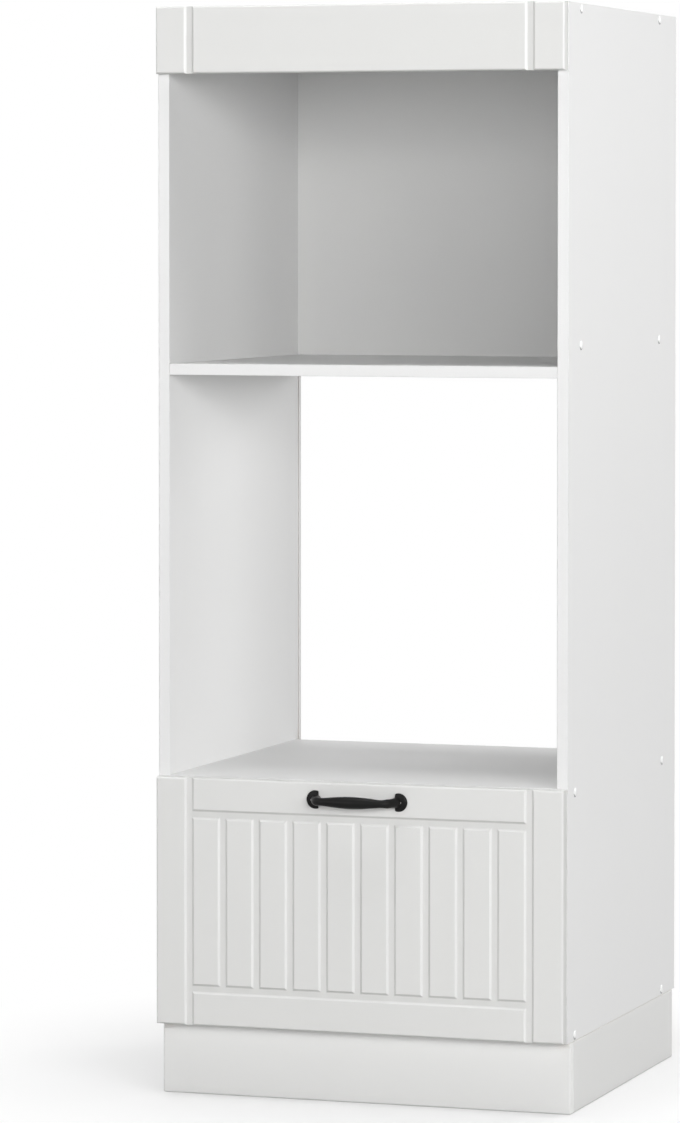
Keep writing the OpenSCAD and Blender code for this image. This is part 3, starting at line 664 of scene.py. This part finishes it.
cap_verts, cap_faces = [], []
for low, high in solids_of("side_screw_caps"):
    radius = (high.z - low.z) / 2
    way = 1 if low.x > 0 else -1
    outer = high.x if way > 0 else -low.x
    proud = outer - side_x
    stem = high.x - low.x - proud
    profile = [
        (stem_r - stem_lead, -stem),
        (stem_r, -stem + stem_lead),
        (stem_r, -cap_edge),
        (radius - cap_edge, 0),
        (radius, rim_share * proud),
    ]
    for i in range(1, dome_steps + 1):
        turn = math.pi / 2 * i / dome_steps
        reach = max(radius * math.cos(turn), dome_tip_r)
        profile.append((reach, proud * (rim_share + (1 - rim_share) * math.sin(turn))))
    verts, faces = turned(profile, sides=32)
    first = len(cap_verts)
    middle = Vector((way * side_x, (low.y + high.y) / 2, (low.z + high.z) / 2))
    cap_verts += [middle + Vector((way * v.z, v.x, v.y * way)) for v in verts]
    cap_faces += [tuple(first + v for v in face) for face in faces]

screw_caps = piece_from("screw_cap_domes", cap_verts, cap_faces, cap_finish)
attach(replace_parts(screw_caps, "side_screw_caps"), "carcass")


# ---------- Runners and rollers ----------
# Rolled steel sections with white powder coat, one pair on the sides and one under the drawer
# walls. Each carries a nylon roller on a rivet.


def powder_coat():
    """Baked powder with the fine dimples of orange peel."""
    finish = Finish("runner_coat")
    place = finish.place()
    peel = finish.noise(place, 1.6 * mm, 1.0)
    tone = finish.noise(place, 60 * mm, 2.0)
    return finish.surface(
        Base_Color=finish.blend(tone, grey(0.77, 0.006), grey(0.80, 0.008)),
        Roughness=0.30 + 0.08 * tone,
        Normal=finish.relief(peel, 0.05 * mm, 0.5),
    )


def nylon():
    """Natural nylon, a little milky, with a polished track."""
    finish = Finish("roller_nylon")
    place = finish.place()
    milk = finish.noise(place, 3 * mm, 2.0)
    return finish.surface(
        Base_Color=finish.blend(milk, grey(0.80, 0.03), grey(0.88, 0.04)),
        Roughness=0.28 + 0.12 * milk,
        Normal=finish.relief(milk, 0.03 * mm, 0.4),
        Specular_IOR_Level=0.45,
    )


coat_finish, nylon_finish = powder_coat(), nylon()
for side in ("left", "right"):
    dress(f"{side}_cabinet_runner", coat_finish)
    dress(f"{side}_drawer_runner", coat_finish)
    dress(f"{side}_front_roller", nylon_finish)
    dress(f"{side}_rear_roller", nylon_finish)


# ---------- Drawer box ----------
# Walls of white melamine-faced chipboard, screwed at the corners, round a bottom of white
# hardboard that slides in from behind and is screwed up to the back wall.

box_finish = melamine("drawer_melamine", 0.80, (("Z", -1),))
box_ease = 0.4 * mm
for board in ("drawer_box_front", "drawer_left_wall", "drawer_right_wall", "drawer_back_wall"):
    ease_edges(dress(board, box_finish), box_ease)
dress("drawer_bottom", hardboard("bottom_hardboard", "Z", -1))


# ---------- Soft stops ----------
# Low pads of clear soft plastic, which take the knock when the drawer shuts. They are stuck to
# the back of the drawer front, where it meets the carcass.

pad = Finish("bumper_clear")
pad_haze = pad.noise(pad.place(), 2 * mm, 2.0)
dress(
    "drawer_bumpers",
    pad.surface(
        Base_Color=pad.blend(pad_haze, (0.70, 0.74, 0.76, 1), (0.80, 0.83, 0.84, 1)),
        Roughness=0.18 + 0.12 * pad_haze,
        Normal=pad.relief(pad_haze, 0.02 * mm, 0.4),
    ),
)


# ---------- Handle ----------
# A cast bow handle: a spindle-shaped grip between two necks, which run into feet with a round
# outer side and a flat inner side. Black satin lacquer. Two screws from inside the drawer hold it.


def black_lacquer():
    """Satin black lacquer over a casting: slight lumps, and a sheen that comes and goes."""
    finish = Finish("handle_black")
    place = finish.place()
    cast = finish.noise(place, 1.8 * mm, 3.0)
    sheen = finish.noise(place, 14 * mm, 2.0)
    return finish.surface(
        Base_Color=finish.blend(sheen, grey(0.004, 0.0), grey(0.010, 0.0005)),
        Roughness=0.30 + 0.12 * sheen,
        Normal=finish.relief(cast, 0.07 * mm, 0.5),
        Specular_IOR_Level=0.12,
    )


def swept(points, radii, sides):
    """Verts and faces of a tube along points in one level plane, with a radius at each."""
    verts, faces = [], []
    for i, point in enumerate(points):
        ahead = points[min(i + 1, len(points) - 1)] - points[max(i - 1, 0)]
        across = Vector((ahead.y, -ahead.x, 0)).normalized()
        for j in range(sides):
            turn = 2 * math.pi * j / sides
            ring = across * math.cos(turn) + Vector((0, 0, 1)) * math.sin(turn)
            verts.append(point + ring * radii[i])
    for i in range(len(points) - 1):
        for j in range(sides):
            a, b = i * sides + j, i * sides + (j + 1) % sides
            faces.append((a, a + sides, b + sides, b))
    faces.append(tuple(range(sides)))
    faces.append(tuple(range(len(verts) - sides, len(verts)))[::-1])
    return verts, faces


handle_low, handle_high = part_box("drawer_handle")
screw_low, screw_high = solids_of("handle_screws")[1]
screw_x = (screw_low.x + screw_high.x) / 2
grip_z = (screw_low.z + screw_high.z) / 2
face_y = handle_high.y
foot_shift = 3.2 * mm
foot_x = screw_x - foot_shift
foot_r = handle_high.x - foot_x
foot_flat = 7.7 * mm
foot_corner = 0.7 * mm
foot_rise = 3.5 * mm
grip_r = 8.5 * mm
grip_sag = 0.4 * mm
bend_r = 5.5 * mm
root_r = 7.2 * mm
knuckle_r = 0.45 * mm
neck_run = 15 * mm
grip_y = handle_low.y + grip_r
bend_x = foot_x - neck_run

# the right neck leaves its foot nearly straight, and turns into the grip
neck_curve = (
    Vector((foot_x - 1.5 * mm, face_y - 1.5 * mm, grip_z)),
    Vector((foot_x - 4.5 * mm, face_y - 14 * mm, grip_z)),
    Vector((bend_x + 7.5 * mm, grip_y + 1.5 * mm, grip_z)),
    Vector((bend_x - 3 * mm, grip_y + grip_sag, grip_z)),
)


def neck_point(share):
    """A point on the right neck, from inside its foot to the grip, on a cubic curve."""
    start, out, turn_in, end = neck_curve
    rest = 1 - share
    return (
        start * rest**3
        + out * 3 * rest**2 * share
        + turn_in * 3 * rest * share**2
        + end * share**3
    )


def neck_radius(share):
    """Thick at the root, with a slight knuckle before the bend, and slim at the bend."""
    knuckle = knuckle_r * math.exp(-(((share - 0.66) / 0.13) ** 2))
    return root_r + (bend_r - root_r) * min(1, share * 1.15) + knuckle


neck_steps, grip_steps = 18, 40
bow_points = [neck_point(i / neck_steps) for i in range(neck_steps + 1)]
bow_radii = [neck_radius(i / neck_steps) for i in range(neck_steps + 1)]
grip_end = bow_points[-1].x
for i in range(1, grip_steps):
    share = i / grip_steps
    x = grip_end * (1 - 2 * share)
    swell = math.sin(math.pi * share)
    bow_points.append(Vector((x, grip_y + grip_sag * (1 - swell), grip_z)))
    bow_radii.append(bend_r + (grip_r - bend_r) * swell**1.15)
for i in range(neck_steps, -1, -1):
    right = neck_point(i / neck_steps)
    bow_points.append(Vector((-right.x, right.y, right.z)))
    bow_radii.append(neck_radius(i / neck_steps))
handle_verts, handle_faces = swept(bow_points, bow_radii, sides=32)

# from the rim on the drawer front up to the middle of the foot
foot_profile = [
    (foot_r - 0.3 * mm, 0),
    (foot_r, 0.3 * mm),
    (foot_r, 1.3 * mm),
    (foot_r - 0.5 * mm, 2.2 * mm),
    (foot_r - 1.6 * mm, 2.9 * mm),
    (foot_r - 3.4 * mm, 3.3 * mm),
    (foot_r - 6 * mm, foot_rise),
    (0.2 * mm, foot_rise + 0.1 * mm),
]
for way in (1, -1):
    verts, faces = turned(foot_profile, sides=72)
    first = len(handle_verts)
    for v in verts:
        # the inner side is flat, with soft corners: what lies past it is pushed back to it
        flat_x = foot_shift - foot_flat
        past = v.x - flat_x
        x = flat_x + foot_corner * math.log1p(math.exp(past / foot_corner))
        handle_verts.append(Vector((way * (foot_x + x), face_y - v.z, grip_z + v.y)))
    for face in faces:
        turned_face = face if way > 0 else face[::-1]
        handle_faces.append(tuple(first + v for v in turned_face))

handle = piece_from("bow_handle", handle_verts, handle_faces, black_lacquer())
cast = handle.modifiers.new("one_casting", "REMESH")
cast.mode = "VOXEL"
cast.voxel_size = 0.4 * mm
cast.use_smooth_shade = True
fettled = handle.modifiers.new("fettled", "SMOOTH")
fettled.factor = 0.5
fettled.iterations = 6
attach(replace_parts(handle, "drawer_handle"), "drawer")


# ---------- Studio ----------
# A pale floor that runs out into white, soft light from all round, and lamps that are large
# enough to leave no hard shadow. The camera stands to the right at about chest height.


def seen_directly(finish):
    """1 for what the camera sees, also in a mirror or through glass, and 0 for all other light."""
    path = finish.node("LightPath", output="Is Camera Ray")
    return (path + path.part("Is Glossy Ray") + path.part("Is Transmission Ray")).at_most(1)


floor_reach = 40.0
floor_corners = [
    (across * floor_reach, along * floor_reach, 0)
    for across, along in ((-1, -1), (1, -1), (1, 1), (-1, 1))
]
floor_mesh = bpy.data.meshes.new("studio_floor")
floor_mesh.from_pydata(floor_corners, [], [(0, 1, 2, 3)])
floor = bpy.data.objects.new("studio_floor", floor_mesh)
bpy.context.scene.collection.objects.link(floor)

# the floor keeps its shadow near the cabinet, and fades into plain white away from it
shadow_middle = (-0.06, 0.08, 0)
near_white, fade_start, fade_end = 0.28, 0.40, 0.85

ground = Finish("studio_floor")
ground_place = ground.place()
ground_seen = seen_directly(ground)
ground_far = ground.node(
    "VectorMath",
    {"Vector": ground_place, "Vector_001": shadow_middle},
    output="Value",
    operation="DISTANCE",
)
fade = ground.node(
    "MapRange",
    {
        "Value": ground_far,
        "From Min": fade_start,
        "From Max": fade_end,
        "To Min": near_white,
        "To Max": 1.0,
    },
    interpolation_type="SMOOTHSTEP",
)
ground_tone = ground.noise(ground_place, 60 * mm, 3.0)
paint = ground.node(
    "BsdfPrincipled",
    {
        "Base Color": ground.blend(
            ground_seen,
            ground.blend(ground_tone, grey(0.410), grey(0.430)),
            ground.blend(ground_tone, grey(0.915), grey(0.925)),
        ),
        "Roughness": 0.8,
        "Specular IOR Level": 0.1,
    },
)
white = ground.node("Emission", {"Color": (1, 1, 1, 1), "Strength": 1.0})
mixed = ground.node("MixShader", {"Fac": ground_seen * fade, "Shader": paint, "Shader_001": white})
ground.node("OutputMaterial", {"Surface": mixed})
floor.data.materials.append(ground.material)

# most of the room's own light comes from behind, and falls through the open back of the oven niche
world = bpy.data.worlds.new("studio_air")
bpy.context.scene.world = world
air = Finish("studio_air", owner=world)
air_seen = seen_directly(air)
from_back = air.axis(air.node("TexCoord", output="Generated"), "Y").at_least(0)
air_light = 0.02 + from_back * from_back
strength = air_seen + (1 - air_seen) * air_light
background = air.node("Background", {"Color": (1, 1, 1, 1), "Strength": strength})
air.node("OutputWorld", {"Surface": background})


def lamp(name, aim, azimuth, elevation, distance, width, height, power):
    """A soft lamp that looks at a point. Azimuth 0 is in front, 90 to the right."""
    light = bpy.data.lights.new(name, "AREA")
    light.shape = "RECTANGLE"
    light.size, light.size_y = width, height
    light.energy = power
    turn, rise = math.radians(azimuth), math.radians(elevation)
    level = math.cos(rise)
    away = Vector((math.sin(turn) * level, -math.cos(turn) * level, math.sin(rise)))
    placed = bpy.data.objects.new(name, light)
    placed.location = Vector(aim) + away * distance
    placed.rotation_euler = away.to_track_quat("Z", "Y").to_euler()
    bpy.context.scene.collection.objects.link(placed)


for name, azimuth, power in (
    ("left_box", -25, 73),
    ("front_box", 25, 160),
    ("right_box", 50, 163),
    ("rear_box", 140, 110),
    ("side_box", -100, 65),
):
    lamp(
        name,
        aim=(0, 0, 0.8),
        azimuth=azimuth,
        elevation=9,
        distance=7.0,
        width=3.6,
        height=1.9,
        power=power,
    )
lamp(
    "top_box",
    aim=(0, 0, 0),
    azimuth=0,
    elevation=88,
    distance=15.0,
    width=9.0,
    height=9.0,
    power=1620,
)

camera_dip, camera_turn = 1.826, 18.841
camera = bpy.data.objects.new("camera", bpy.data.cameras.new("camera"))
bpy.context.scene.collection.objects.link(camera)
bpy.context.scene.camera = camera
camera.location = (2.2816, -7.0299, 1.2212)
camera.rotation_euler = (math.radians(90 - camera_dip), 0, math.radians(camera_turn))
camera.data.lens = 165.19
camera.data.sensor_width = 36
camera.data.shift_y = -0.15
camera.data.clip_end = 200

bpy.context.scene.view_settings.view_transform = "Standard"
